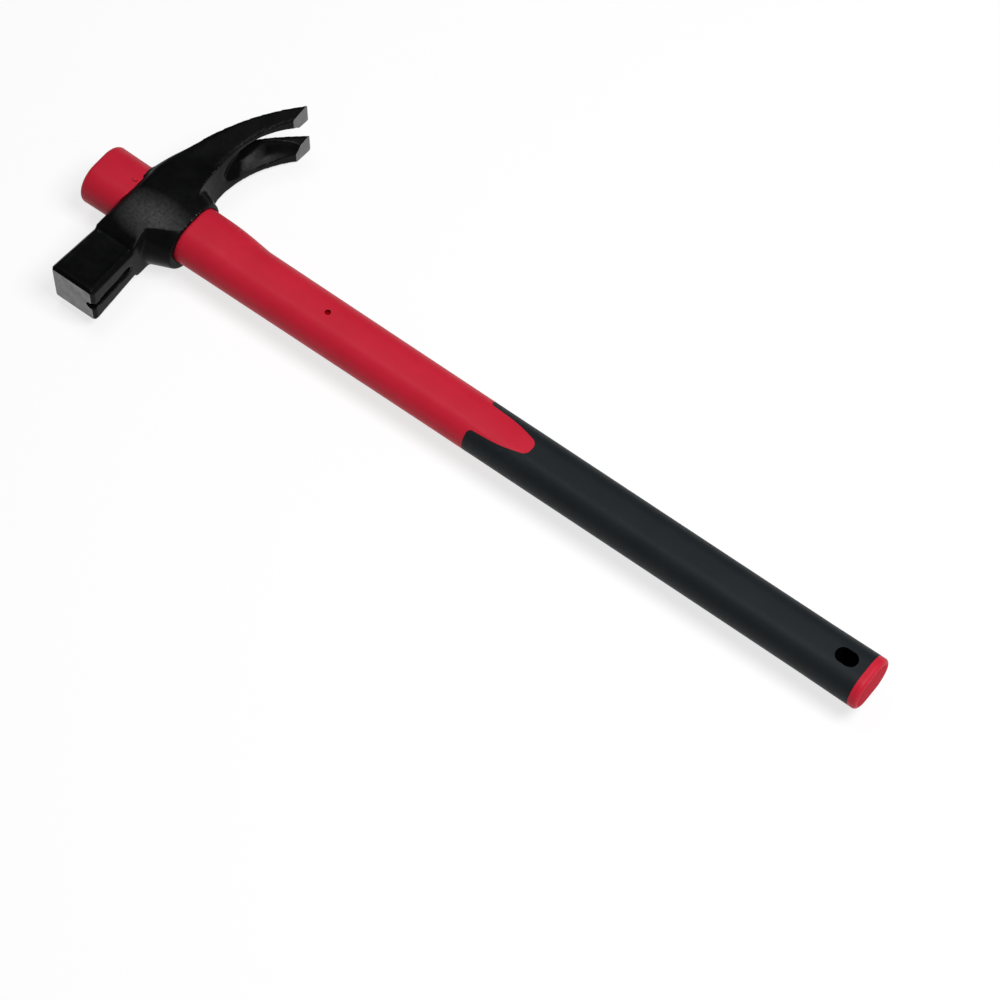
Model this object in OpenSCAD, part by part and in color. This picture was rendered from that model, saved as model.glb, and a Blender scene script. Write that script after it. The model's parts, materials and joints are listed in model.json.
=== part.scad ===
// Framing hammer: a forged claw head on a two-colour moulded handle, lying on its cheek.
// Lengths are in millimetres and angles in degrees.
// +X runs down the handle to the butt, +Y points to the claw and +Z out of the upper cheek.

/* [Poll] */
// Distance from the handle axis to the striking face
face_reach = 62.3; // [57:0.1:70]
// Width of the striking face along the handle
face_width = 27; // [25.5:0.1:29]
// Thickness of the striking face from cheek to cheek
face_thick = 25.3; // [23.5:0.1:27]
// Width of the neck where the poll meets the eye
neck_width = 25; // [23:0.1:25.5]
// Thickness of the neck where the poll meets the eye
neck_thick = 22.6; // [21:0.1:23.4]
// Bevel ground around the striking face
face_bevel = 1.6; // [0.6:0.1:2.2]
// How much the forging rounds off the corners of the poll at the face
corner_round = 1.2; // [0.3:0.1:1.8]
// How much the forging rounds off the corners of the poll at the neck
neck_round = 1.6; // [0.3:0.1:2.2]
// Depth of the plain panel pressed into each cheek of the poll
panel_depth = 0.5; // [0.3:0.1:1]
// Border left around that panel
panel_border = 2.6; // [1.8:0.1:3.4]
// Rounding of the panel's corners
panel_round = 2.4; // [1.5:0.1:3.5]

/* [Nail starter] */
// Radius of the nail groove on the handle side of the poll
groove_radius = 2.5; // [1.8:0.1:2.8]
// How far the middle of the groove sits below the side of the poll
groove_sink = 0.5; // [0:0.1:0.8]
// Distance from the handle axis to the middle of the magnet
magnet_reach = 35.5; // [34.5:0.5:42]
// Radius of the round magnet at the end of the groove
magnet_radius = 2.3; // [1.6:0.1:2.8]
// Length of the magnet
magnet_length = 3.2; // [2:0.1:4]
// How far the magnet sits below the side of the poll
magnet_sink = 3.1; // [2.4:0.1:3.8]

/* [Eye] */
// Thickness of the eye from cheek to cheek
eye_thick = 33; // [31.5:0.1:35]
// Distance from the handle axis to the step between eye and poll
eye_reach = 30; // [27.5:0.1:31.5]
// Length of the ramp from the poll up to the cheek of the eye
ramp_length = 11; // [7:0.5:14]
// Step at the foot of that ramp
ramp_step = 0.5; // [0.2:0.1:0.8]
// Bulge of each cheek of the eye, as the radius of its curve
cheek_radius = 112; // [90:1:130]
// Height of the eye's top above the middle of the poll
eye_top = 12.2; // [11.5:0.1:13.5]
// How far the top corners of the eye are sloped off
eye_corner = 4.6; // [3:0.1:5.5]
// Width of the slope on the eye's lower corners beside the poll, along the handle
shoulder_run = 3.2; // [2:0.1:4]
// Width of that slope from cheek to cheek
shoulder_rise = 5; // [3:0.1:6]
// Distance from the middle of the poll down to where the cheeks start to slope in
cheek_drop = 7; // [5:0.1:9]
// Distance from the middle of the poll down to the rim of the collar
collar_drop = 25.6; // [24:0.1:28]
// Width of the collar at its rim
collar_width = 38.6; // [38:0.1:40]
// Thickness of the collar at its rim
collar_thick = 30.2; // [29:0.1:31]
// Height of the collar's tapered side
collar_height = 15; // [13:0.1:17]
// Slope of the collar's side
collar_angle = 20; // [14:1:26]

/* [Claw] */
// Distance from the handle axis to the tips of the claw
claw_reach = 86.4; // [82:0.1:90]
// How far the tips drop towards the handle
claw_drop = 28.5; // [27:0.1:30]
// Distance from the handle axis to where the claw's back leaves the top of the eye
claw_back_reach = 16; // [14:0.5:18]
// Radius of the claw's back
claw_back_radius = 143.5; // [130:0.5:160]
// Radius of the claw's hollow underside
claw_throat_radius = 62; // [58:0.5:68]
// Distance from the middle of the poll to the underside at the throat
claw_throat = 14.3; // [13:0.1:15.5]
// Distance from the handle axis to the throat
claw_throat_reach = 36; // [34:0.5:38]
// Width of the claw at its root
claw_root_width = 25.4; // [23:0.1:27]
// Distance from the handle axis to where the claw starts to widen
claw_root_reach = 32; // [28:0.5:36]
// Width of the claw across its tips
claw_tip_width = 38.4; // [35:0.1:41]
// Opening of the nail slot between the tips
slot_mouth = 11.4; // [10:0.1:15]
// Length of the nail slot along the claw
slot_length = 36; // [30:0.5:38]
// Radius at the root of the nail slot
slot_root_radius = 1.1; // [0.8:0.1:1.6]
// Slope of the slot, square to the curved claw
slot_turn = 38; // [34:1:42]
// Depth of the scoop that thins the claw around the slot
scoop_depth = 8; // [6.5:0.1:8.4]
// Radius of the scoop along the claw
scoop_radius = 30; // [27:0.5:34]
// Radius of the scoop across the claw
scoop_round = 12.8; // [11.5:0.1:14]
// Place of the deepest point of the scoop around the throat
scoop_turn = 24; // [22:1:27]

/* [Handle] */
// Distance from the middle of the poll to the butt
handle_length = 434.8; // [400:0.1:470]
// Width of the handle just below the head
handle_width_top = 30.4; // [29:0.1:31]
// Width of the handle at its slimmest
handle_width_low = 28.1; // [27:0.1:29]
// Width of the handle at the butt
handle_width_butt = 28.7; // [27.5:0.1:30]
// Width of the flat that runs down the middle of each cheek of the handle
handle_flat = 7.6; // [6:0.1:9]
// Rounding of the butt's edge
butt_round = 2.2; // [1:0.1:3]
// Height of the stub's end above the middle of the poll
stub_reach = 36.6; // [32:0.1:44]
// Width of the handle where it fills the collar
eye_width_low = 32.4; // [32:0.1:33]
// Width of the stub at its end
eye_width_top = 34; // [33.4:0.1:34.6]
// Flat on each cheek of the part that fills the eye
eye_flat = 8; // [7:0.1:9]
// Shift of the eye towards the claw
eye_shift = 1.3; // [0.8:0.1:1.6]
// Rounding of the stub's edge
stub_round = 2.6; // [1.5:0.1:5]
// Radius of the small mould mark on the stub
nib_radius = 1.3; // [0.8:0.1:1.6]
// Distance of that mark from the handle axis
nib_shift = 2.6; // [1:0.1:4]
// Distance from the middle of the poll to the moulding pin hole
pin_hole_reach = 110.5; // [90:0.5:130]
// Distance of the moulding pin hole from the handle axis
pin_hole_shift = 0.8; // [0:0.1:2]
// Radius of the moulding pin hole
pin_hole_radius = 1.2; // [0.8:0.1:1.5]
// Depth of the moulding pin hole
pin_hole_depth = 1.8; // [1:0.1:3]

/* [Core] */
// Width of the glass fibre core
core_width = 15; // [12:0.1:16]
// Thickness of the glass fibre core
core_thick = 10; // [8:0.1:11]
// Cover left over the core at the stub
core_cover = 7; // [5:0.1:9]
// Distance from the butt to the lower end of the core
core_stop = 31; // [28:0.5:44]

/* [Grip] */
// Distance from the middle of the poll to the front of the grip
grip_start = 204.5; // [190:0.5:220]
// Length of the bare ring left at the butt
butt_ring = 4.6; // [3.5:0.1:7]
// Thickness of the grip
grip_thick = 2.2; // [1.6:0.1:2.6]
// Length of the bare tongue that runs into the grip
tongue_length = 31.6; // [26:0.1:38]
// Width of the tongue at its root
tongue_width = 17.6; // [15:0.1:19]
// Width of the tongue at its tip
tongue_tip_width = 8.8; // [8:0.1:11]
// Rounding of the tongue's blunt tip
tongue_round = 3.4; // [2:0.1:3.9]
// Rounding of the grip's front corners beside the tongue
lobe_round = 3; // [1.5:0.1:3.6]
// Distance from the butt to the middle of the hanging slot
hang_reach = 15.5; // [14.5:0.1:20]
// Length of the hanging slot
hang_length = 12; // [10:0.1:13.5]
// Width of the hanging slot
hang_width = 8.4; // [6.5:0.1:9]
// Thickness of the lining in the hanging slot
hang_lining = 1.4; // [1:0.1:1.8]

/* [Fits] */
// Gap left at every seat between two pieces
fit_gap = 0.05; // [0.03:0.01:0.1]

/* [Hidden] */
$fn = 96;
wide = 200;

// The claw's back is the arc through its tip and the point where it leaves the eye.
back_fall = 0.3;
back_start = [back_fall - eye_top, claw_back_reach];
tip_point = [claw_drop, claw_reach];
back_chord = tip_point - back_start;
back_half = norm(back_chord) / 2;
back_side = [back_chord[1], -back_chord[0]] / norm(back_chord);
back_depth = sqrt(pow(claw_back_radius, 2) - pow(back_half, 2));
back_centre = (back_start + tip_point) / 2 + back_side * back_depth;

throat_centre = [claw_throat + claw_throat_radius, claw_throat_reach];
scoop_offset = claw_throat_radius + scoop_depth - scoop_radius;
scoop_centre = throat_centre + scoop_offset * [-cos(scoop_turn), sin(scoop_turn)];

poll_length = face_reach - eye_reach;
side_taper = atan((face_width - neck_width) / 2 / poll_length);
cheek_taper = atan((face_thick - neck_thick) / 2 / poll_length);

rail_top = (handle_width_top - handle_flat) / 2;
rail_low = (handle_width_low - handle_flat) / 2;
rail_butt = (handle_width_butt - handle_flat) / 2;
rail_start = collar_drop - 4;
slim_place = 0.9 * handle_length;
eye_rail_low = (eye_width_low - eye_flat) / 2;
eye_rail_top = (eye_width_top - eye_flat) / 2;
run_out_start = collar_drop + 7;
run_out_length = 34;
run_out_fall = 2.9;

grip_end = handle_length - butt_ring;
hang_place = handle_length - hang_reach;
tongue_tip = grip_start + tongue_length - tongue_round;
tongue_slope = atan((tongue_width - tongue_tip_width) / 2 / (tongue_tip - grip_start));

// The whole hammer is centred over the table, with the lower claw tip on it.
place = [(stub_reach - handle_length) / 2, (face_reach - claw_reach) / 2, claw_tip_width / 2];

// Half width of the tongue at a place along it
function tongue_half(x) = tongue_tip_width / 2 + (tongue_tip - x) * tan(tongue_slope);

// Radius of the handle's rounded sides at a place along it
function rail_radius(x) =
    x < slim_place
        ? rail_low + (rail_top - rail_low) * pow((slim_place - x) / slim_place, 2)
        : rail_low + (rail_butt - rail_low) * pow((x - slim_place) / (handle_length - slim_place), 2);

// Radius of the rounded sides where the handle fills the eye and runs out below the collar
function eye_radius(x) =
    x < run_out_start
        ? eye_rail_low + (eye_rail_top - eye_rail_low) * (collar_drop - x) / (collar_drop + stub_reach)
        : eye_radius(run_out_start - 0.001)
            - run_out_fall * (1 - cos(90 * (x - run_out_start) / run_out_length));

// Side outline of the grip bar as radius and place, with its rounded butt, drawn in by an inset
function bar_outline(inset, from, to, steps) =
    [for (i = [0:steps]) let (x = from + (to - from) * i / steps) [rail_radius(x) - inset, x]];

function butt_outline() =
    [for (a = [0:15:90]) [
        rail_radius(handle_length) - butt_round * (1 - cos(a)),
        handle_length - butt_round * (1 - sin(a))
    ]];

function stub_outline(inset) =
    [for (a = [90:-15:0]) [
        eye_radius(-stub_reach) - inset - stub_round * (1 - cos(a)),
        -stub_reach + stub_round * (1 - sin(a))
    ]];

function run_out_outline(inset, steps) =
    [for (i = [0:steps]) let (x = run_out_start + run_out_length * i / steps) [eye_radius(x) - inset, x]];

// A bar with flat cheeks and round sides that follow one outline
module flat_sided_bar(outline, flat, shift) {
    first = outline[0][1];
    last = outline[len(outline) - 1][1];
    closed = concat([[0, first]], outline, [[0, last]]);
    mirrored = [for (i = [len(outline) - 1:-1:0]) [-outline[i][0], outline[i][1]]];
    translate([0, shift, 0]) {
        for (side = [-1, 1])
            translate([0, side * flat / 2, 0])
                rotate([0, 90, 0])
                    rotate_extrude()
                        polygon(closed);
        rotate([90, 0, 0])
            rotate([0, 0, -90])
                mirror([1, 0, 0])
                    linear_extrude(height = flat, center = true)
                        polygon(concat(outline, mirrored));
    }
}

// The handle's own form from below the collar to the butt
module grip_bar() {
    body = bar_outline(0, rail_start, handle_length - butt_round, 14);
    flat_sided_bar(concat(body, butt_outline()), handle_flat, 0);
}

// The slimmer bar under the grip
module grip_seat(inset) {
    flat_sided_bar(bar_outline(inset, rail_start, handle_length - butt_round, 14), handle_flat, 0);
}

// The part of the handle that fills the eye, ends in the stub and runs out below the collar
module eye_bar() {
    flat_sided_bar(concat(stub_outline(fit_gap), run_out_outline(fit_gap, 10)), eye_flat, eye_shift);
}

// The hole through the head
module eye_hole() {
    top = -stub_reach;
    low = collar_drop + 5;
    flat_sided_bar([[eye_radius(top), top], [eye_radius(low), low]], eye_flat, eye_shift);
}

// A long hole with round ends, lying along the handle
module long_hole(length, width) {
    for (end = [-1, 1])
        translate([end * (length - width) / 2, 0])
            circle(d = width);
    square([length - width, width], center = true);
}

// A plain rectangle with round corners
module round_plate(size, radius) {
    square([size[0] - 2 * radius, size[1]], center = true);
    square([size[0], size[1] - 2 * radius], center = true);
    for (x = [-1, 1], y = [-1, 1])
        translate([x * (size[0] / 2 - radius), y * (size[1] / 2 - radius)])
            circle(radius);
}

// Seen along Z: stands an outline drawn in X and Y through both cheeks
module through_cheeks() {
    linear_extrude(height = wide, center = true)
        children();
}

// Seen along X: stands an outline drawn in Y and Z along the handle
module along_handle() {
    rotate([90, 0, 90])
        linear_extrude(height = wide, center = true)
            children();
}

// Seen along Y: stands an outline drawn in X and Z from face to claw
module along_head() {
    rotate([90, 0, 0])
        linear_extrude(height = 2 * wide, center = true)
            children();
}

// Outline of the poll from neck to face, half as wide as each value at that place
module poll_outline(face, neck) {
    polygon([
        [0, -neck / 2],
        [-eye_reach, -neck / 2],
        [-face_reach + face_bevel, -face / 2],
        [-face_reach, -face / 2 + face_bevel],
        [-face_reach, face / 2 - face_bevel],
        [-face_reach + face_bevel, face / 2],
        [-eye_reach, neck / 2],
        [0, neck / 2]
    ]);
}

// The square striking end, tapered both ways
module poll() {
    face_corner = norm([face_width, face_thick]) / 2 - corner_round;
    neck_corner = norm([neck_width, neck_thick]) / 2 - neck_round;
    intersection() {
        through_cheeks()
            mirror([1, -1])
                poll_outline(face_width, neck_width);
        along_handle()
            poll_outline(face_thick, neck_thick);
        translate([0, -face_reach, 0])
            rotate([-90, 0, 0])
                cylinder(h = poll_length, r1 = face_corner, r2 = neck_corner);
    }
}

// The round outline that gives the claw and the top of the eye one smooth back
module back_disc() {
    translate(back_centre)
        circle(claw_back_radius, $fn = 240);
}

// The same round back as a solid, with its rims sloped off as the top of the eye is
module sloped_back() {
    half = eye_thick / 2;
    inner = claw_back_radius - eye_corner;
    translate(back_centre)
        rotate_extrude($fn = 240)
            polygon([
                [0, -half], [inner, -half], [claw_back_radius, eye_corner - half],
                [claw_back_radius, half - eye_corner], [inner, half], [0, half]
            ]);
}

// The round outline of the claw's hollow underside
module throat_disc() {
    translate(throat_centre)
        circle(claw_throat_radius, $fn = 180);
}

// Round bar that gives one cheek its bulge across the eye, with its crest cut flat
module cheek_bulge() {
    crest_cut = 0.4;
    translate([0, 0, eye_thick / 2 + crest_cut - cheek_radius])
        rotate([0, 90, 0])
            cylinder(h = wide, r = cheek_radius, center = true, $fn = 240);
}

// Room for both cheeks, with the ramps that rise from the poll
module cheek_ramps() {
    half = eye_thick / 2;
    foot = neck_thick / 2 + ramp_step;
    ramp_top = ramp_length - eye_reach;
    along_handle()
        polygon([
            [-eye_reach, -foot], [ramp_top, -half], [wide, -half],
            [wide, half], [ramp_top, half], [-eye_reach, foot]
        ]);
}

// Both cheeks, flat in the middle, with their top corners sloped off
module cheeks() {
    half = eye_thick / 2;
    rim = collar_thick / 2;
    shoulder = eye_corner - eye_top;
    intersection() {
        cheek_ramps();
        cheek_bulge();
        mirror([0, 0, 1])
            cheek_bulge();
        along_head()
            polygon([
                [-eye_top, eye_corner - half], [shoulder, -half], [cheek_drop, -half], [collar_drop, -rim],
                [collar_drop, rim], [cheek_drop, half], [shoulder, half], [-eye_top, half - eye_corner]
            ]);
    }
}

// Room for the eye on the poll's side, with its lower corners sloped off
module poll_side() {
    half = eye_thick / 2;
    low = neck_width / 2;
    intersection() {
        through_cheeks()
            translate([-wide, -eye_reach])
                square([wide + low, eye_reach]);
        along_head()
            polygon([
                [-wide, -half], [low - shoulder_run, -half], [low, shoulder_rise - half],
                [low, half - shoulder_rise], [low - shoulder_run, half], [-wide, half]
            ]);
    }
}

// Room for the eye on the claw's side, down to the throat
module claw_side() {
    overlap = 1;
    through_cheeks()
        difference() {
            translate([-wide, -overlap])
                square([wide + collar_drop, claw_throat_reach - overlap]);
            throat_disc();
        }
}

// The thick middle of the head, around the eye
module eye_block() {
    intersection() {
        cheeks();
        sloped_back();
        union() {
            poll_side();
            claw_side();
        }
    }
}

// The collar that reaches down the handle, rooted above the eye's sloped corners
module collar() {
    rim = collar_thick / 2;
    top = rim + collar_height * tan(collar_angle);
    taper_start = collar_drop - collar_height;
    root = min(taper_start, neck_width / 2 - shoulder_run) - 1;
    wall = [[top, root], [top, taper_start], [rim, collar_drop]];
    intersection() {
        cheeks();
        flat_sided_bar(wall, collar_width - collar_thick, 0);
    }
}

// Curved claw, cut flat across its tips
module claw() {
    root = 4;
    root_half = claw_root_width / 2;
    tip_half = claw_tip_width / 2;
    intersection() {
        through_cheeks()
            difference() {
                intersection() {
                    back_disc();
                    translate([-eye_top, root])
                        square([eye_top + claw_drop, claw_reach - root]);
                }
                throat_disc();
            }
        along_handle()
            polygon([
                [0, -root_half], [claw_root_reach, -root_half], [claw_reach, -tip_half],
                [claw_reach, tip_half], [claw_root_reach, root_half], [0, root_half]
            ]);
    }
}

// Wheel-shaped hollow that thins the claw around the nail slot
module scoop() {
    translate(scoop_centre)
        rotate_extrude() {
            translate([0, -scoop_round])
                square([scoop_radius - scoop_round, 2 * scoop_round]);
            translate([scoop_radius - scoop_round, 0])
                intersection() {
                    circle(scoop_round);
                    translate([0, -scoop_round])
                        square([scoop_round, 2 * scoop_round]);
                }
        }
}

// V-shaped nail slot, cut square through the claw from its tips
module nail_slot() {
    beyond = 10;
    grow = (slot_mouth / 2 - slot_root_radius) / slot_length;
    end_half = slot_root_radius + grow * (slot_length + beyond);
    translate(tip_point)
        rotate([0, 0, -slot_turn])
            translate([0, -slot_length, 0])
                along_handle() {
                    circle(slot_root_radius);
                    polygon([
                        [0, -slot_root_radius], [slot_length + beyond, -end_half],
                        [slot_length + beyond, end_half], [0, slot_root_radius]
                    ]);
                }
}

// Plain sunk panel on both cheeks of the poll
module cheek_panels() {
    into_eye = 0.6;
    size = [neck_width - 2 * panel_border, poll_length - panel_border - face_bevel + into_eye];
    for (side = [0, 1])
        mirror([0, 0, side])
            translate([0, -eye_reach, neck_thick / 2 - panel_depth])
                rotate([-cheek_taper, 0, 0])
                    translate([0, into_eye - size[1] / 2, 0])
                        linear_extrude(height = face_thick)
                            round_plate(size, panel_round);
}

// Half-round groove and magnet seat on the handle side of the poll
module nail_starter() {
    translate([neck_width / 2 - groove_sink, -eye_reach, 0])
        rotate([0, 0, -side_taper])
            translate([0, eye_reach - magnet_reach, 0])
                rotate([90, 0, 0])
                    cylinder(h = wide, r = groove_radius);
    translate([magnet_top() - magnet_length - fit_gap, -magnet_reach, 0])
        rotate([0, 90, 0])
            cylinder(h = wide, r = magnet_radius + fit_gap);
}

// Outer end of the magnet
function magnet_top() =
    neck_width / 2 + (magnet_reach - eye_reach) * tan(side_taper) - magnet_sink;

// Forged steel head
module hammer_head() {
    color([0.10, 0.10, 0.11])
        difference() {
            union() {
                poll();
                eye_block();
                collar();
                claw();
            }
            cheek_panels();
            nail_starter();
            scoop();
            nail_slot();
            eye_hole();
        }
}

// Round magnet that holds the nail
module nail_magnet() {
    color([0.72, 0.73, 0.75])
        translate([magnet_top() - magnet_length, -magnet_reach, 0])
            rotate([0, 90, 0])
                cylinder(h = magnet_length, r = magnet_radius, $fn = 48);
}

// Bar of the core, grown by a gap for its seat
module core_bar(grow) {
    radius = core_thick / 2 + grow;
    top = -stub_reach + core_cover - grow;
    low = handle_length - core_stop + grow;
    flat_sided_bar([[radius, top], [radius, low]], core_width - core_thick, 0);
}

// Glass fibre rod inside the handle
module handle_core() {
    color([0.85, 0.82, 0.66])
        core_bar(0);
}

// Outline of the grip on a cheek, with the tongue left bare, drawn in by a gap
module grip_field(gap) {
    difference() {
        translate([grip_start + gap, -wide / 2])
            square([grip_end - grip_start - 2 * gap, wide]);
        tongue(gap);
        for (side = [0, 1])
            mirror([0, side])
                lobe_corner(gap);
    }
}

// Outline of the bare tongue, with its blunt tip
module tongue(gap) {
    tip_half = tongue_tip_width / 2 - tongue_round;
    for (side = [-1, 1])
        translate([tongue_tip, side * tip_half])
            circle(tongue_round + gap);
    translate([tongue_tip - tongue_round, -tip_half])
        square([2 * tongue_round + gap, 2 * tip_half]);
    polygon([
        [grip_start - 1, -tongue_half(grip_start - 1) - gap], [tongue_tip, -tongue_tip_width / 2 - gap],
        [tongue_tip, tongue_tip_width / 2 + gap], [grip_start - 1, tongue_half(grip_start - 1) + gap]
    ]);
}

// What the rounding takes off one front corner of the grip beside the tongue
module lobe_corner(gap) {
    front = grip_start + gap;
    corner = [front, tongue_half(front) + gap];
    lift = gap + lobe_round / cos(tongue_slope);
    middle = [front + lobe_round, tongue_half(front + lobe_round) + lift];
    on_front = [front - 0.01, middle[1]];
    on_tongue = middle - (lobe_round + 0.01) * [sin(tongue_slope), cos(tongue_slope)];
    difference() {
        polygon([corner - [0.01, 0.01], on_tongue, middle, on_front]);
        translate(middle)
            circle(lobe_round);
    }
}

// Red moulding from stub to butt
module handle_shell() {
    color([0.74, 0.10, 0.17])
        difference() {
            union() {
                eye_bar();
                grip_bar();
                stub_nib();
            }
            difference() {
                through_cheeks()
                    grip_field(0);
                grip_seat(grip_thick);
            }
            translate([hang_place, 0])
                through_cheeks()
                    long_hole(hang_length + 2 * hang_lining, hang_width + 2 * hang_lining);
            core_bar(fit_gap);
            pin_holes();
        }
}

// Mould mark on the upper cheek of the stub
module stub_nib() {
    sunk = 1;
    proud = 0.9;
    translate([-eye_top - nib_radius, nib_shift, eye_radius(-eye_top) - sunk])
        cylinder(h = sunk + proud, r = nib_radius, $fn = 32);
}

// Holes left where pins held the core in the mould
module pin_holes() {
    floor_height = rail_radius(pin_hole_reach) - pin_hole_depth;
    for (side = [0, 1])
        mirror([0, 0, side])
            translate([pin_hole_reach, pin_hole_shift, floor_height])
                cylinder(h = handle_width_top, r = pin_hole_radius, $fn = 32);
}

// Black soft grip, moulded over the shell and through the hanging slot
module grip_sleeve() {
    color([0.16, 0.18, 0.19])
        difference() {
            union() {
                difference() {
                    intersection() {
                        grip_bar();
                        through_cheeks()
                            grip_field(fit_gap);
                    }
                    grip_seat(grip_thick - fit_gap);
                }
                intersection() {
                    grip_bar();
                    translate([hang_place, 0])
                        through_cheeks()
                            long_hole(
                                hang_length + 2 * (hang_lining - fit_gap),
                                hang_width + 2 * (hang_lining - fit_gap)
                            );
                }
            }
            translate([hang_place, 0])
                through_cheeks()
                    long_hole(hang_length, hang_width);
        }
}

translate(place) {
    hammer_head();
    nail_magnet();
    handle_core();
    handle_shell();
    grip_sleeve();
}
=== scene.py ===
# %% [markdown]
# A framing hammer lies on its cheek: a forged black head, a red moulded handle that runs
# through the head, and a black soft grip. The exact solids come in as a fixed frame.
# This lesson gives them the soft edges and the finishes of the real hammer.

# %% Load the solids
import json
import math

import bmesh
import bpy
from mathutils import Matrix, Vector


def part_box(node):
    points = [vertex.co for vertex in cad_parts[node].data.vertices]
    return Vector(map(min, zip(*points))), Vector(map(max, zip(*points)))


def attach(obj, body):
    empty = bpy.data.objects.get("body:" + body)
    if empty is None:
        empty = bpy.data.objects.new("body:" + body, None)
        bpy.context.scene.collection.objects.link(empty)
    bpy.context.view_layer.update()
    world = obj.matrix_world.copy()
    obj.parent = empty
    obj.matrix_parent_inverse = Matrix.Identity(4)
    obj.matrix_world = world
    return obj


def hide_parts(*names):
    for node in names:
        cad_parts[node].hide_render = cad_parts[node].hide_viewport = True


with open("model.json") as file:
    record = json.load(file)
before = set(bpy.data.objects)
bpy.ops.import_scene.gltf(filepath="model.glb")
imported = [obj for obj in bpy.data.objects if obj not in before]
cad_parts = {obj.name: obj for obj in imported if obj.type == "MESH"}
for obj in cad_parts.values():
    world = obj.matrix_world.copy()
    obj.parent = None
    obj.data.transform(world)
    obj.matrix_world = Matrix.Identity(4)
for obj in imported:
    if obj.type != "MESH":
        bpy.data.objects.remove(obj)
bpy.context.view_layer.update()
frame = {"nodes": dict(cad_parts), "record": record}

# %% [markdown]
# A maker measures a hammer from the point where the handle crosses the middle of the head.
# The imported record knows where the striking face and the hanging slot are, and these two
# give that point. From here on, places are millimetres down the handle, towards the claw
# and up out of the cheek. A third helper says how far a value has come between two limits.

# %% Measure from the middle of the head
MM = 0.001
mounts = {m["name"]: Vector(m["pos_m"]) for m in frame["record"]["mounts"]}
middle = Vector((mounts["striking_face"].x, mounts["hang_slot"].y, mounts["striking_face"].z))


def at(along, across, up):
    """A point in metres from millimetres along the handle, across to the claw and up."""
    return middle + Vector((along, across, up)) * MM


def place_of(point):
    """The same measures, in millimetres, of a point in metres."""
    return (point - middle) / MM


def share_of(value, start, end):
    """How far a value has come from a start to an end, from 0 to 1."""
    return min(max((value - start) / (end - start), 0.0), 1.0)


print("middle of the head", [round(v, 4) for v in middle])

# %% [markdown]
# The head is forged a little too long, and the grinder then takes the striking face and the
# tips of the claw down to size. The same order gives the crispest rims here. So the copy of
# the solid first grows: its end faces are drawn out as metal that is cut off again later.

# %% Leave metal for the grinder
STOCK = 4.0
CLAW_SLOPE = math.radians(45)
SAME_POINT = 0.001
SAME_PLANE = 0.01
SQUARE_ON = 0.99


def merged_copy(node):
    """A bmesh of a solid's own surface with its points merged."""
    shape = bmesh.new()
    shape.from_mesh(frame["nodes"][node].data)
    bmesh.ops.remove_doubles(shape, verts=shape.verts, dist=SAME_POINT * MM)
    return shape


def draw_out(shape, wanted, step):
    """Draws the wanted faces of a shape out by a step."""
    ends = [f for f in shape.faces if wanted(f)]
    grown = bmesh.ops.extrude_face_region(shape, geom=ends)
    moved = [v for v in grown["geom"] if isinstance(v, bmesh.types.BMVert)]
    bmesh.ops.translate(shape, verts=moved, vec=step)
    bmesh.ops.delete(shape, geom=[f for f in ends if f.is_valid], context="FACES_ONLY")
    return len(ends)


head_low, head_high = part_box("hammer_head")
face_end = head_low.y
tip_end = head_high.x


def is_striking_face(face):
    """Whether a face lies in the plane of the striking face."""
    return face.normal.y < -SQUARE_ON and abs(face.calc_center_median().y - face_end) < SAME_PLANE * MM


def is_claw_tip(face):
    """Whether a face lies in the plane of the claw's tips."""
    return face.normal.x > SQUARE_ON and abs(face.calc_center_median().x - tip_end) < SAME_PLANE * MM


blank = merged_copy("hammer_head")
claw_way = Vector((math.sin(CLAW_SLOPE), math.cos(CLAW_SLOPE), 0))
drawn_faces = draw_out(blank, is_striking_face, Vector((0, -STOCK * MM, 0)))
drawn_tips = draw_out(blank, is_claw_tip, claw_way * STOCK * MM)
print("drawn out", drawn_faces, "faces at the poll and", drawn_tips, "at the claw")

# %% [markdown]
# The head is drop forged, so no edge of it is sharp until the grinder touches it. The solid
# has crisp edges. Beveling each of them by hand would take long where so many curves cross.
# Instead the copy is wrapped in a new skin of small even squares, and this skin is then
# smoothed, which rounds every edge as the forging die does.

# %% Wrap the head in an even skin
SKIN = 0.49 * MM


def even_skin(shape, size):
    """Wraps a bmesh in a new surface of small even squares."""
    mesh = bpy.data.meshes.new("wrap")
    shape.to_mesh(mesh)
    wrap = bpy.data.objects.new("wrap", mesh)
    bpy.context.scene.collection.objects.link(wrap)
    remesh = wrap.modifiers.new("skin", "REMESH")
    remesh.mode = "VOXEL"
    remesh.voxel_size = size
    ready = wrap.evaluated_get(bpy.context.evaluated_depsgraph_get())
    shape.clear()
    shape.from_mesh(ready.data)
    bpy.data.objects.remove(wrap)
    return shape


head = even_skin(blank, SKIN)
print("head skin", len(head.faces), "squares")

# %% [markdown]
# Smoothing moves each point towards the middle of its neighbours. A few rounds all over
# take away the steps of the new skin and leave an edge of about half a millimetre. The die
# drew the cheeks, the eye and the claw together in long soft curves, so the points there get
# more rounds, most of all in the valley where the claw begins. Towards the collar there are
# ever fewer, so it stays crisp. The wall of the hole stays as it is, because the handle fits it.

# %% Soften the forging
HOLE_WALL = 2.2
HOLE_SHIFT = 1.3
HOLE_FLAT_HALF = 4.0
HOLE_RADIUS = 12.6
ROUNDS_ALL_OVER = 3
# Each zone has its end towards the poll, its end towards the claw, its low end and its rounds.
SOFT_ZONES = ((-34, 64, 20, 4), (-31, 58, 14, 8), (-28, 52, 11, 12), (-25, 46, 9, 16), (8, 42, 8, 40))


def soften(shape, points, rounds):
    """Smooths some points of a shape, round after round."""
    for _ in range(rounds):
        bmesh.ops.smooth_vert(
            shape, verts=points, factor=0.5, use_axis_x=True, use_axis_y=True, use_axis_z=True
        )


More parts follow.
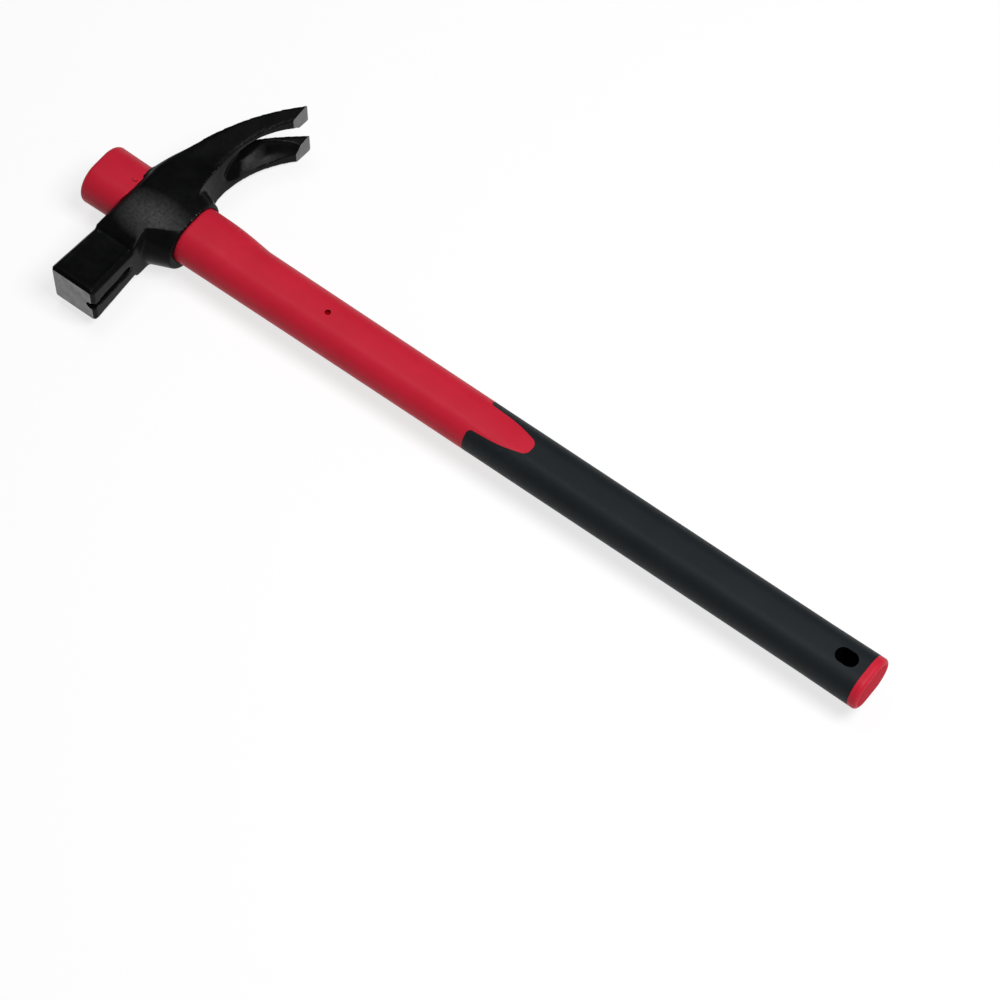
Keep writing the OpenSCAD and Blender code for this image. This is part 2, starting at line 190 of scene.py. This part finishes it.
def off_the_hole(spot):
    """How far a place is outside the long round hole through the eye, in millimetres."""
    side = max(abs(spot.y - HOLE_SHIFT) - HOLE_FLAT_HALF, 0.0)
    return math.hypot(side, spot.z) - HOLE_RADIUS


def around_the_eye(shape, poll_end, claw_end, low_end):
    """The outer points of the eye between two places across the head, up to a low end."""
    chosen = []
    for vert in shape.verts:
        spot = place_of(vert.co)
        if poll_end < spot.y < claw_end and spot.x < low_end and off_the_hole(spot) > HOLE_WALL:
            chosen.append(vert)
    return chosen


soften(head, head.verts[:], ROUNDS_ALL_OVER)
for poll_end, claw_end, low_end, rounds in SOFT_ZONES:
    eye_points = around_the_eye(head, poll_end, claw_end, low_end)
    soften(head, eye_points, rounds)
    print("softened", len(eye_points), "points around the eye", rounds, "times")

# %% [markdown]
# The walls of the nail slot are sloped, so that they bite under the head of a nail: towards
# the tips the slot is wider on the hollow side of the claw than on its back. The points near
# the slot move away from the middle, most at the hollow side, and the shift fades to the sides.

# %% Slope the walls of the nail slot
HOLLOW_CENTRE = Vector((76.3, 36.0))
HOLLOW_RADIUS = 62.0
CLAW_DEPTH = 10.0
SLOT_HALF = 5.7
SLOPE_START = 58.0
SLOPE_END = 76.0
SLOPE_SHIFT = 3.4
SLOPE_FADE = 7.0


def sloped(spot):
    """Where a place on the claw goes when the walls of the slot are sloped."""
    side = abs(spot.z)
    deep = (spot.xy - HOLLOW_CENTRE).length - HOLLOW_RADIUS
    shift = SLOPE_SHIFT * share_of(spot.y, SLOPE_START, SLOPE_END) * share_of(deep, CLAW_DEPTH, 0.0)
    side += shift * share_of(side, SLOT_HALF + SLOPE_FADE, SLOT_HALF)
    return Vector((spot.x, spot.y, math.copysign(side, spot.z)))


for vert in head.verts:
    vert.co = at(*sloped(place_of(vert.co)))
print("slot walls sloped by", SLOPE_SHIFT, "mm at the tips")

# %% [markdown]
# Last, the smith grinds three places bright: the striking face and the two tips of the
# claw. A grinding wheel leaves a flat with a crisp rim, so a plane cuts the soft skin and
# the cut is closed with a flat face that carries its own steel finish.

# %% Grind the face and the claw tips
LACQUER, STEEL = 0, 1
ON_THE_CUT = 1e-7


def grind(shape, point, direction):
    """Cuts a shape flat and marks the flat as bare steel with a crisp rim."""
    cut = bmesh.ops.bisect_plane(
        shape, geom=shape.verts[:] + shape.edges[:] + shape.faces[:], dist=ON_THE_CUT,
        plane_co=point, plane_no=direction, clear_outer=True,
    )
    rim = [e for e in cut["geom_cut"] if isinstance(e, bmesh.types.BMEdge)]
    flat = bmesh.ops.triangle_fill(shape, edges=rim, use_beauty=True, normal=direction)
    for face in [f for f in flat["geom"] if isinstance(f, bmesh.types.BMFace)]:
        face.material_index = STEEL
        face.smooth = False
    for edge in rim:
        edge.smooth = False
    return len(rim)


for face in head.faces:
    face.smooth = True
    face.material_index = LACQUER
face_rim = grind(head, Vector((0, face_end, 0)), Vector((0, -1, 0)))
tip_rim = grind(head, Vector((tip_end, 0, 0)), Vector((1, 0, 0)))
print("ground face rim", face_rim, "edges, tip rims", tip_rim, "edges")

# %% [markdown]
# The shape is done and becomes a piece of the scene. A piece rides on the part's one body
# and stands in for the solid it was made from.

# %% Make the head a piece


def piece_from(shape, name, node):
    """Turns a finished bmesh into a piece that stands for a solid."""
    mesh = bpy.data.meshes.new(name)
    shape.to_mesh(mesh)
    shape.free()
    piece = bpy.data.objects.new(name, mesh)
    bpy.context.scene.collection.objects.link(piece)
    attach(piece, "root")
    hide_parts(node)
    return piece


head_piece = piece_from(head, "forged_head", "hammer_head")
print("head piece", len(head_piece.data.polygons), "faces")

# %% [markdown]
# Materials come next. They are all built from nodes on Object coordinates, so a pattern
# keeps its real size on every piece. A small helper adds a node, sets its inputs and makes
# its links, which keeps each material short enough to read in one go.

# %% Helpers for materials


def add(tree, kind, inputs=None, **settings):
    """Adds a node to a tree; an input is a value, or a socket to link from."""
    node = tree.nodes.new(kind)
    for key, value in settings.items():
        setattr(node, key, value)
    for key, value in (inputs or {}).items():
        if isinstance(value, bpy.types.NodeSocket):
            tree.links.new(value, node.inputs[key])
        else:
            node.inputs[key].default_value = value
    return node


def new_material(name):
    """An empty material with its output, ready for a shader."""
    material = bpy.data.materials.new(name)
    material.use_nodes = True
    material.node_tree.nodes.clear()
    output = add(material.node_tree, "ShaderNodeOutputMaterial")
    return material, material.node_tree, output


def blend(tree, factor, first, second):
    """Mixes two colours, each of them given or linked from a socket."""
    node = add(tree, "ShaderNodeMix", {"Factor": factor, "A": first, "B": second}, data_type="RGBA")
    return node.outputs["Result"]


def new_group(name, inputs, outputs):
    """A node group with number inputs and the outputs that are named."""
    tree = bpy.data.node_groups.new(name, "ShaderNodeTree")
    for title, value in inputs.items():
        socket = tree.interface.new_socket(title, in_out="INPUT", socket_type="NodeSocketFloat")
        socket.default_value = value
    for title, kind in outputs.items():
        tree.interface.new_socket(title, in_out="OUTPUT", socket_type=kind)
    return tree, add(tree, "NodeGroupInput"), add(tree, "NodeGroupOutput")


def place_group(tree, group, **inputs):
    """Puts a group into a material with its own values."""
    node = add(tree, "ShaderNodeGroup", node_tree=group)
    for key, value in inputs.items():
        node.inputs[key.replace("_", " ")].default_value = value
    return node


# %% [markdown]
# Two effects serve several finishes. The first is a grain: a noise of a given size that
# runs between two values, for colour and gloss that are never quite even. The second is a
# skin: a bump from two noises, one for slow waves and one for the fine peel of lacquer or
# the sparkle of a spark-eroded mould.

# %% The shared grain and skin
grain, way_in, way_out = new_group(
    "grain", {"Size": 0.002, "Low": 0.0, "High": 1.0}, {"Value": "NodeSocketFloat"}
)
coords = add(grain, "ShaderNodeTexCoord")
scale = add(grain, "ShaderNodeMath", {0: 1.0, 1: way_in.outputs["Size"]}, operation="DIVIDE")
noise = add(grain, "ShaderNodeTexNoise", {
    "Vector": coords.outputs["Object"], "Scale": scale.outputs[0], "Detail": 3.0, "Roughness": 0.55,
})
spread = add(grain, "ShaderNodeMapRange", {
    "Value": noise.outputs["Fac"], "From Min": 0.3, "From Max": 0.7,
    "To Min": way_in.outputs["Low"], "To Max": way_in.outputs["High"],
})
grain.links.new(spread.outputs["Result"], way_out.inputs["Value"])

skin, way_in, way_out = new_group(
    "skin",
    {"Wave Size": 0.004, "Wave Height": 0.0001, "Peel Size": 0.0006, "Peel Height": 0.00001},
    {"Normal": "NodeSocketVector"},
)
coords = add(skin, "ShaderNodeTexCoord")
heights = []
for title in ("Wave", "Peel"):
    scale = add(skin, "ShaderNodeMath", {0: 1.0, 1: way_in.outputs[title + " Size"]}, operation="DIVIDE")
    noise = add(skin, "ShaderNodeTexNoise", {
        "Vector": coords.outputs["Object"], "Scale": scale.outputs[0], "Detail": 2.0,
    })
    heights.append(add(skin, "ShaderNodeMath", {
        0: noise.outputs["Fac"], 1: way_in.outputs[title + " Height"],
    }, operation="MULTIPLY"))
height = add(skin, "ShaderNodeMath", {0: heights[0].outputs[0], 1: heights[1].outputs[0]})
bump = add(skin, "ShaderNodeBump", {"Height": height.outputs[0], "Strength": 1.0, "Distance": 1.0})
skin.links.new(bump.outputs["Normal"], way_out.inputs["Normal"])
print("groups", grain.name, skin.name)

# %% [markdown]
# The head is dipped in black lacquer over the forging scale. The mesh itself can tell the
# material where this finish changes. Where edges stand proud the lacquer is rubbed off, so
# the bend around each point is stored as one attribute, stronger on the collar's rim. On the
# boss of each cheek, where it faces up, and deep in the scoop a rough grey is painted in as a
# highlight, so the nearness to those two places is stored as another. At the root of the scoop
# and under its rim shade is painted by taking the lacquer's mirror away, and in the throat of
# the claw half of it. That is the third.

# %% Where highlight and shade are painted on the lacquer
# Each zone has its middle on the upper cheek and its reach along, across and up.
# BOSS and SCOOP mark where a grey highlight is painted on the lacquer.
BOSS = ((11, -11, 15.5), (28, 16, 12))
SCOOP = ((13, 56, 7), (9, 13, 8))
# SCOOP_ROOT, SCOOP_RIM and THROAT mark where shade is painted by taking the lacquer's mirror away.
SCOOP_ROOT = ((12, 45, 5), (7, 11, 7))
SCOOP_RIM = ((11, 57, 3), (6, 15, 4.5))
SHOULDER = ((11, -26, 12), (9, 11, 9))
THROAT = ((16, 31, 0), (14, 20, 26))
COLLAR_RIM = ((25.6, 1.3, 15), (3, 20, 8))
WORN_BEND = 0.55
WORN_RIM_BEND = 0.3
HALF_SHADE = 0.5


def store(piece, name, values):
    """Stores one number for each point of a piece, for its material to read."""
    attribute = piece.data.attributes.new(name, "FLOAT", "POINT")
    attribute.data.foreach_set("value", values)
    print(name, "mean", round(sum(values) / len(values), 4))


def nearness(vert, zone):
    """How near a point is to the middle of a zone on either cheek, from 0 at its reach to 1."""
    centre, reach = zone
    spot = place_of(vert.co)
    spot.z = abs(spot.z)
    away = spot - Vector(centre)
    share = math.sqrt(sum((away[i] / reach[i]) ** 2 for i in range(3)))
    return max(1.0 - share, 0.0)


def proudness(vert):
    """How sharply a point stands proud, from 0 to 1, less on the shoulder the collar shelters."""
    bends = [e.calc_face_angle_signed(0.0) for e in vert.link_edges]
    sheltered = min(nearness(vert, SHOULDER) * 2.0, 1.0)
    rubbed = min(nearness(vert, COLLAR_RIM) * 2.0, 1.0)
    full = WORN_BEND + (WORN_RIM_BEND - WORN_BEND) * rubbed
    return share_of(max(bends), 0.0, full) * (1.0 - sheltered)


def painted_shade_of(vert):
    """How much shade is painted at a point by taking the lacquer's mirror away, from 0 to 1 where the
    wall of the scoop leans in.
    """
    rim_shade = max(nearness(vert, SCOOP_ROOT), nearness(vert, SCOOP_RIM)) * 2.5
    leaning = share_of(abs(vert.normal.z), 0.12, 0.24)
    under_claw = min(nearness(vert, THROAT) * 2.0, HALF_SHADE)
    return min(max(rim_shade * leaning, under_claw), 1.0)


def painted_highlight_of(vert):
    """How much grey highlight is painted at a point, from 0 to 1."""
    upright = share_of(abs(vert.normal.z), 0.85, 0.95)
    hollow = 1.0 - painted_shade_of(vert) if vert.normal.x > 0.4 else 0.0
    return max(nearness(vert, BOSS) * upright, nearness(vert, SCOOP) * hollow)


shape = bmesh.new()
shape.from_mesh(head_piece.data)
store(head_piece, "proud_edge", [proudness(v) for v in shape.verts])
# A painted grey highlight on the boss and in the scoop.
store(head_piece, "painted_highlight_lacquer", [painted_highlight_of(v) for v in shape.verts])
# Painted shade at the root and rim of the scoop and, half as strong, in the throat.
store(head_piece, "painted_shade_lacquer", [painted_shade_of(v) for v in shape.verts])
shape.free()

# %% [markdown]
# Lacquer is deep black and glossy, and it pulls level over the uneven skin below it. The
# attributes mix the other finishes in: steel where it is rubbed, a painted grey highlight that
# breaks up into grain and scatters the light, and no mirror at all where shade is painted.

# %% Black lacquer


def times(tree, first, second):
    """Multiplies two values, each of them given or linked from a socket."""
    return add(tree, "ShaderNodeMath", {0: first, 1: second}, operation="MULTIPLY").outputs[0]


lacquer, tree, output = new_material("black_lacquer")
edge = add(tree, "ShaderNodeAttribute", attribute_name="proud_edge").outputs["Fac"]
highlight_mask = add(tree, "ShaderNodeAttribute", attribute_name="painted_highlight_lacquer").outputs["Fac"]
shade_mask = add(tree, "ShaderNodeAttribute", attribute_name="painted_shade_lacquer").outputs["Fac"]
rubbed = place_group(tree, grain, Size=0.0016, Low=0.0, High=1.0)
worn = add(tree, "ShaderNodeMapRange", {
    "Value": times(tree, edge, rubbed.outputs["Value"]), "From Min": 0.6, "From Max": 1.0, "To Max": 0.7,
})
# bare is the share of the painted grey highlight, which also makes the lacquer rougher.
speckle = place_group(tree, grain, Size=0.0016, Low=0.55, High=1.2)
bare = add(tree, "ShaderNodeMapRange", {
    "Value": times(tree, highlight_mask, speckle.outputs["Value"]), "From Min": 0.05, "From Max": 0.9,
})
cloud = place_group(tree, grain, Size=0.012, Low=0.0, High=1.0)
paint = blend(tree, cloud.outputs["Value"], (0.0026, 0.0027, 0.0028, 1), (0.0048, 0.0049, 0.0051, 1))
# The grey mixed in here is a painted highlight.
highlighted = blend(tree, bare.outputs["Result"], paint, (0.054, 0.054, 0.055, 1))
tone = blend(tree, worn.outputs["Result"], highlighted, (0.16, 0.156, 0.15, 1))
polish = place_group(tree, grain, Size=0.003, Low=0.24, High=0.34)
gloss = add(tree, "ShaderNodeMapRange", {
    "Value": bare.outputs["Result"], "To Min": polish.outputs["Value"], "To Max": 0.55,
})
# Where shade is painted the lacquer loses its mirror.
mirror = add(tree, "ShaderNodeMapRange", {"Value": shade_mask, "To Min": 0.04, "To Max": 0.0})
waves = place_group(
    tree, skin, Wave_Size=0.004, Wave_Height=0.00005, Peel_Size=0.0008, Peel_Height=0.000008
)
shader = add(tree, "ShaderNodeBsdfPrincipled", {
    "Base Color": tone, "Metallic": worn.outputs["Result"], "Roughness": gloss.outputs["Result"],
    "Specular IOR Level": mirror.outputs["Result"], "Normal": waves.outputs["Normal"],
})
tree.links.new(shader.outputs["BSDF"], output.inputs["Surface"])
print("lacquer", lacquer.name)

# %% [markdown]
# The ground flats are bare steel. A wheel leaves fine parallel scratches, so a noise is
# stretched along one direction and squeezed across it. It changes the colour and the gloss
# a little and bumps the surface.

# %% Ground steel
steel, tree, output = new_material("ground_steel")
coords = add(tree, "ShaderNodeTexCoord")
drawn = add(tree, "ShaderNodeMapping", {
    "Vector": coords.outputs["Object"], "Scale": (250.0, 250.0, 5000.0),
})
lines = add(tree, "ShaderNodeTexNoise", {"Vector": drawn.outputs["Vector"], "Scale": 1.0, "Detail": 3.0})
tone = blend(tree, lines.outputs["Fac"], (0.105, 0.105, 0.107, 1), (0.168, 0.168, 0.17, 1))
gloss = place_group(tree, grain, Size=0.004, Low=0.34, High=0.5)
bump = add(tree, "ShaderNodeBump", {"Height": lines.outputs["Fac"], "Strength": 0.3, "Distance": 0.00002})
shader = add(tree, "ShaderNodeBsdfPrincipled", {
    "Base Color": tone, "Metallic": 1.0,
    "Roughness": gloss.outputs["Value"], "Normal": bump.outputs["Normal"],
})
tree.links.new(shader.outputs["BSDF"], output.inputs["Surface"])
head_piece.data.materials.append(lacquer)
head_piece.data.materials.append(steel)
print("head finishes", [m.name for m in head_piece.data.materials])

# %% [markdown]
# The handle is next. On each cheek a bare red tongue runs into the grip. The solids give it
# straight sides, and on the real hammer they bow out by a little over a millimetre. Both
# pieces share this edge, so the same shift goes over both. It is widest at the edge, fades
# to both sides, and keeps each point as far from the middle of the bar as it was.

# %% Bow the sides of the tongue
TONGUE_ROOT = 204.5
TONGUE_TIP = 236.1
ROOT_HALF = 8.8
TIP_HALF = 3.87
FLAT_HALF = 3.8
OUTER_LAYER = 7.6
BOW = 1.35
BOW_FADE = 5.0
BOW_CUTS = 24


def bowed(spot):
    """Where a place on the handle goes when the sides of the tongue bow out."""
    share = (spot.x - TONGUE_ROOT) / (TONGUE_TIP - TONGUE_ROOT)
    side = abs(spot.y)
    radius = math.hypot(max(side - FLAT_HALF, 0.0), spot.z)
    if not 0.0 < share < 1.0 or radius < OUTER_LAYER:
        return spot
    edge = ROOT_HALF + (TIP_HALF - ROOT_HALF) * share
    fade = min(side / edge, max(1.0 - (side - edge) / BOW_FADE, 0.0))
    on_cheek = share_of(abs(spot.z) / radius, 0.3, 0.6)
    side += BOW * math.sin(math.pi * share ** 1.2) * fade * on_cheek
    height = math.sqrt(radius ** 2 - max(side - FLAT_HALF, 0.0) ** 2)
    return Vector((spot.x, math.copysign(side, spot.y), math.copysign(height, spot.z)))


def bow_tongue(shape):
    """Cuts a shape across the tongue, so that it can bend there, and bows the tongue's sides."""
    for i in range(1, BOW_CUTS):
        cut = TONGUE_ROOT + (TONGUE_TIP - TONGUE_ROOT) * i / BOW_CUTS
        bmesh.ops.bisect_plane(
            shape, geom=shape.verts[:] + shape.edges[:] + shape.faces[:], dist=ON_THE_CUT,
            plane_co=at(cut, 0, 0), plane_no=Vector((1, 0, 0)),
        )
    for vert in shape.verts:
        vert.co = at(*bowed(place_of(vert.co)))
    bmesh.ops.triangulate(shape, faces=shape.faces[:])


print("widest bow", BOW, "mm, between", TONGUE_ROOT, "and", TONGUE_TIP, "mm down the handle")

# %% [markdown]
# The handle and its grip are moulded, so their flats and rounds run into each other with no
# line between them. The solids have the right shape, but each of their faces is shaded on
# its own. A copy whose points are merged is shaded across all the soft bends at once, and
# only the true edges, which turn by more than a set angle, stay crisp.

# %% Smooth copies of the moulded pieces
CRISP = math.radians(28)


def smooth_copy(node, name):
    """A piece with a solid's shape and a bowed tongue, shaded smoothly except at true edges."""
    shape = merged_copy(node)
    bow_tongue(shape)
    for face in shape.faces:
        face.smooth = True
        face.material_index = 0
    for edge in shape.edges:
        edge.smooth = edge.calc_face_angle(0.0) < CRISP
    return piece_from(shape, name, node)


handle_piece = smooth_copy("handle_shell", "red_handle")
grip_piece = smooth_copy("grip_sleeve", "soft_grip")
print("moulded pieces", len(handle_piece.data.polygons), len(grip_piece.data.polygons), "faces")

# %% [markdown]
# The handle is polypropylene in red with a satin surface. The grip is a soft rubber, moulded
# over it, darker and duller. One recipe serves both: a colour that is never quite even, slow
# waves from shrinkage and a fine grain from the mould. It also makes three duller finishes:
# a near black painted shade for the wall of the hanging slot, a duller red for the end of the
# butt and a deep red painted shade for the small holes in the cheeks.

# %% Red plastic and black rubber
RED_SKIN = {"Wave_Size": 0.02, "Wave_Height": 0.00006, "Peel_Size": 0.0005, "Peel_Height": 0.000006}
RUBBER_SKIN = {"Wave_Size": 0.012, "Wave_Height": 0.00004, "Peel_Size": 0.0007, "Peel_Height": 0.00002}


def moulded(name, dark, light, rough, shine, waves):
    """A moulded finish between two colours, with a range of gloss and a skin."""
    material, tree, output = new_material(name)
    cloud = place_group(tree, grain, Size=0.02, Low=0.0, High=1.0)
    tone = blend(tree, cloud.outputs["Value"], (*dark, 1), (*light, 1))
    gloss = place_group(tree, grain, Size=0.0015, Low=rough[0], High=rough[1])
    surface = place_group(tree, skin, **waves)
    shader = add(tree, "ShaderNodeBsdfPrincipled", {
        "Base Color": tone, "Roughness": gloss.outputs["Value"],
        "Specular IOR Level": shine, "Normal": surface.outputs["Normal"],
    })
    tree.links.new(shader.outputs["BSDF"], output.inputs["Surface"])
    return material


red = moulded(
    "red_plastic", (0.48, 0.0135, 0.031), (0.52, 0.0155, 0.036), (0.4, 0.48), 0.12, RED_SKIN,
)
rubber = moulded(
    "black_rubber", (0.0092, 0.0119, 0.0138), (0.0112, 0.0141, 0.0164), (0.46, 0.56), 0.13, RUBBER_SKIN,
)
# Nearly black and dull: painted shade for the wall of the hanging slot.
slot_shade = moulded(
    "slot_painted_shade", (0.002, 0.002, 0.002), (0.003, 0.003, 0.003), (0.7, 0.8), 0.0, RUBBER_SKIN,
)
end_red = moulded(
    "matt_red", (0.46, 0.016, 0.033), (0.5, 0.018, 0.038), (0.6, 0.7), 0.02, RED_SKIN,
)
# Deep red: painted shade inside the pin holes.
pin_hole_shade = moulded(
    "pin_hole_shade", (0.25, 0.001, 0.003), (0.27, 0.001, 0.003), (0.6, 0.7), 0.0, RED_SKIN,
)
for finish in (red, end_red, pin_hole_shade):
    handle_piece.data.materials.append(finish)
for finish in (rubber, slot_shade):
    grip_piece.data.materials.append(finish)
print("moulded finishes", [m.name for m in (red, end_red, pin_hole_shade, rubber, slot_shade)])

# %% [markdown]
# The wall of the hanging slot lies in shade, so it is painted dull and nearly black as painted
# shade. Its faces stand upright inside the slot, which tells them from the rest of the grip, and
# they get this painted shade.

# %% Paint shade into the hanging slot
SLOT_REACH = 8.0
SLOT_SHADE = 1
slot_place = place_of(mounts["hang_slot"])


def in_the_slot(face):
    """Whether a face of the grip is part of the upright wall of the hanging slot."""
    away = place_of(face.center) - slot_place
    return abs(face.normal.z) < 0.5 and math.hypot(away.x, away.y) < SLOT_REACH


slot_shade_faces = [face for face in grip_piece.data.polygons if in_the_slot(face)]
for face in slot_shade_faces:
    face.material_index = SLOT_SHADE
print("slot_shade_faces", len(slot_shade_faces), "faces of the hanging slot")

# %% [markdown]
# Two places of the handle look different too. The end of the butt is duller than its side. The
# small hole that a pin of the mould left in each cheek is painted deep red inside as painted
# shade. It looks wider on the real hammer than in the solids, so its rim is drawn out by a third
# of a millimetre.

# %% Finish the butt and paint shade into the pin holes
PIN_PLACE = Vector((110.5, 0.8))
PIN_RADIUS = 1.2
SEEN_RADIUS = 1.55
NEAR_RIM = 0.1
NEAR_END = 0.05
END_ON = 0.98
BUTT_END, PIN_HOLE = 1, 2
butt_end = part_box("handle_shell")[1].x


def off_the_pin(point):
    """How far to the side of the pin's axis a point lies, in millimetres, as a flat vector."""
    return place_of(point).xy - PIN_PLACE


for vert in handle_piece.data.vertices:
    away = off_the_pin(vert.co)
    if abs(away.length - PIN_RADIUS) < NEAR_RIM:
        wide = PIN_PLACE + away * SEEN_RADIUS / PIN_RADIUS
        vert.co = at(wide.x, wide.y, place_of(vert.co).z)
for face in handle_piece.data.polygons:
    if face.normal.x > END_ON and abs(face.center.x - butt_end) < NEAR_END * MM:
        face.material_index = BUTT_END
    elif off_the_pin(face.center).length < SEEN_RADIUS:
        face.material_index = PIN_HOLE
marked = [sum(f.material_index == i for f in handle_piece.data.polygons) for i in (BUTT_END, PIN_HOLE)]
print("butt end", marked[0], "faces, pin holes", marked[1], "faces")

# %% [markdown]
# Two small pieces are left. The magnet in the nail groove is nickel plated and shines. The
# glass fibre core is hidden inside the handle, and it still gets the pale streaks that a
# drawn rod has, in case the handle is ever shown cut open.

# %% Magnet and core


def dress(node, material):
    """Gives a solid its finish in place of the plain one it came with."""
    slots = frame["nodes"][node].data.materials
    slots.clear()
    slots.append(material)


nickel, tree, output = new_material("nickel")
gloss = place_group(tree, grain, Size=0.0006, Low=0.3, High=0.45)
shader = add(tree, "ShaderNodeBsdfPrincipled", {
    "Base Color": (0.3, 0.295, 0.28, 1), "Metallic": 1.0, "Roughness": gloss.outputs["Value"],
})
tree.links.new(shader.outputs["BSDF"], output.inputs["Surface"])
dress("nail_magnet", nickel)

fibre, tree, output = new_material("glass_fibre")
coords = add(tree, "ShaderNodeTexCoord")
drawn = add(tree, "ShaderNodeMapping", {
    "Vector": coords.outputs["Object"], "Scale": (20.0, 3000.0, 3000.0),
})
lines = add(tree, "ShaderNodeTexNoise", {"Vector": drawn.outputs["Vector"], "Scale": 1.0})
tone = blend(tree, lines.outputs["Fac"], (0.55, 0.5, 0.32, 1), (0.8, 0.76, 0.6, 1))
shader = add(tree, "ShaderNodeBsdfPrincipled", {"Base Color": tone, "Roughness": 0.5})
tree.links.new(shader.outputs["BSDF"], output.inputs["Surface"])
dress("handle_core", fibre)
print("small finishes", nickel.name, fibre.name)

# %% [markdown]
# The hammer lies on a plain white floor. Part of the light that the camera and the shiny
# pieces see from it is its own, so it looks white and still keeps a soft shadow.

# %% Floor
FLOOR_HALF = 12.0
GLOW_SHARE = 0.75
shape = bmesh.new()
bmesh.ops.create_grid(shape, x_segments=1, y_segments=1, size=FLOOR_HALF)
floor_mesh = bpy.data.meshes.new("floor")
shape.to_mesh(floor_mesh)
shape.free()
floor = bpy.data.objects.new("floor", floor_mesh)
bpy.context.scene.collection.objects.link(floor)

white, tree, output = new_material("white_floor")
ray = add(tree, "ShaderNodeLightPath")
mirrored = add(tree, "ShaderNodeMath", {
    0: ray.outputs["Is Glossy Ray"], 1: ray.outputs["Is Transmission Ray"],
}, operation="MAXIMUM")
seen = add(tree, "ShaderNodeMath", {
    0: ray.outputs["Is Camera Ray"], 1: mirrored.outputs[0],
}, operation="MAXIMUM")
share = add(tree, "ShaderNodeMath", {0: seen.outputs[0], 1: GLOW_SHARE}, operation="MULTIPLY")
cloth = add(tree, "ShaderNodeBsdfDiffuse", {"Color": (0.95, 0.95, 0.95, 1)})
glow = add(tree, "ShaderNodeEmission", {"Color": (1, 1, 1, 1), "Strength": 1.0})
mixed = add(tree, "ShaderNodeMixShader", {
    0: share.outputs[0], 1: cloth.outputs["BSDF"], 2: glow.outputs["Emission"],
})
tree.links.new(mixed.outputs["Shader"], output.inputs["Surface"])
floor_mesh.materials.append(white)
print("floor", floor.name)

# %% [markdown]
# A large soft box stands beyond the butt and lights the hammer from above. A dimmer one stands
# across from the camera, where the tops of the handle and the head mirror it, so that its sheen
# shows how round they are. A third stands low beyond the butt and glints in the scoop and along
# the corner of the poll. The floor fills the shadows, with a little help from an even sky.

# %% Light
world = bpy.data.worlds.new("sky")
world.use_nodes = True
world.node_tree.nodes["Background"].inputs["Color"].default_value = (0.95, 0.97, 1.0, 1)
world.node_tree.nodes["Background"].inputs["Strength"].default_value = 0.07
bpy.context.scene.world = world


def soft_box(name, size, watts, place):
    """A square lamp that looks at the middle of the hammer."""
    light = bpy.data.lights.new(name, "AREA")
    light.shape = "SQUARE"
    light.size = size
    light.energy = watts
    lamp = bpy.data.objects.new(name, light)
    lamp.location = place
    lamp.rotation_euler = (-lamp.location).to_track_quat("-Z", "Y").to_euler()
    bpy.context.scene.collection.objects.link(lamp)
    return lamp


main_box = soft_box("main_box", 0.8, 30.0, (0.76, 0.09, 1.62))
sheen_box = soft_box("sheen_box", 0.5, 6.0, (-0.48, 0.16, 1.64))
low_box = soft_box("low_box", 0.44, 0.4, (0.92, 0.37, 0.3))
print("lamps", main_box.name, sheen_box.name, low_box.name)

# %% [markdown]
# The camera stands where the photographer stood, which a fit of the hammer's corners gave:
# 1.8 metres away, 60 degrees above the table, with a long lens.

# %% Camera
STAND = (786.8, -739.7, 1559.0)
AIM = (237.532, -26.672, 0.0)
LENS = 136.08
SENSOR = 36.0
camera_data = bpy.data.cameras.new("camera")
camera_data.sensor_width = SENSOR
camera_data.lens = LENS
camera = bpy.data.objects.new("camera", camera_data)
bpy.context.scene.collection.objects.link(camera)
camera.location = at(*STAND)
look = at(*AIM) - camera.location
camera.rotation_euler = look.to_track_quat("-Z", "Y").to_euler()
bpy.context.scene.camera = camera
bpy.context.scene.view_settings.view_transform = "Standard"
print("camera", [round(v, 4) for v in camera.location])
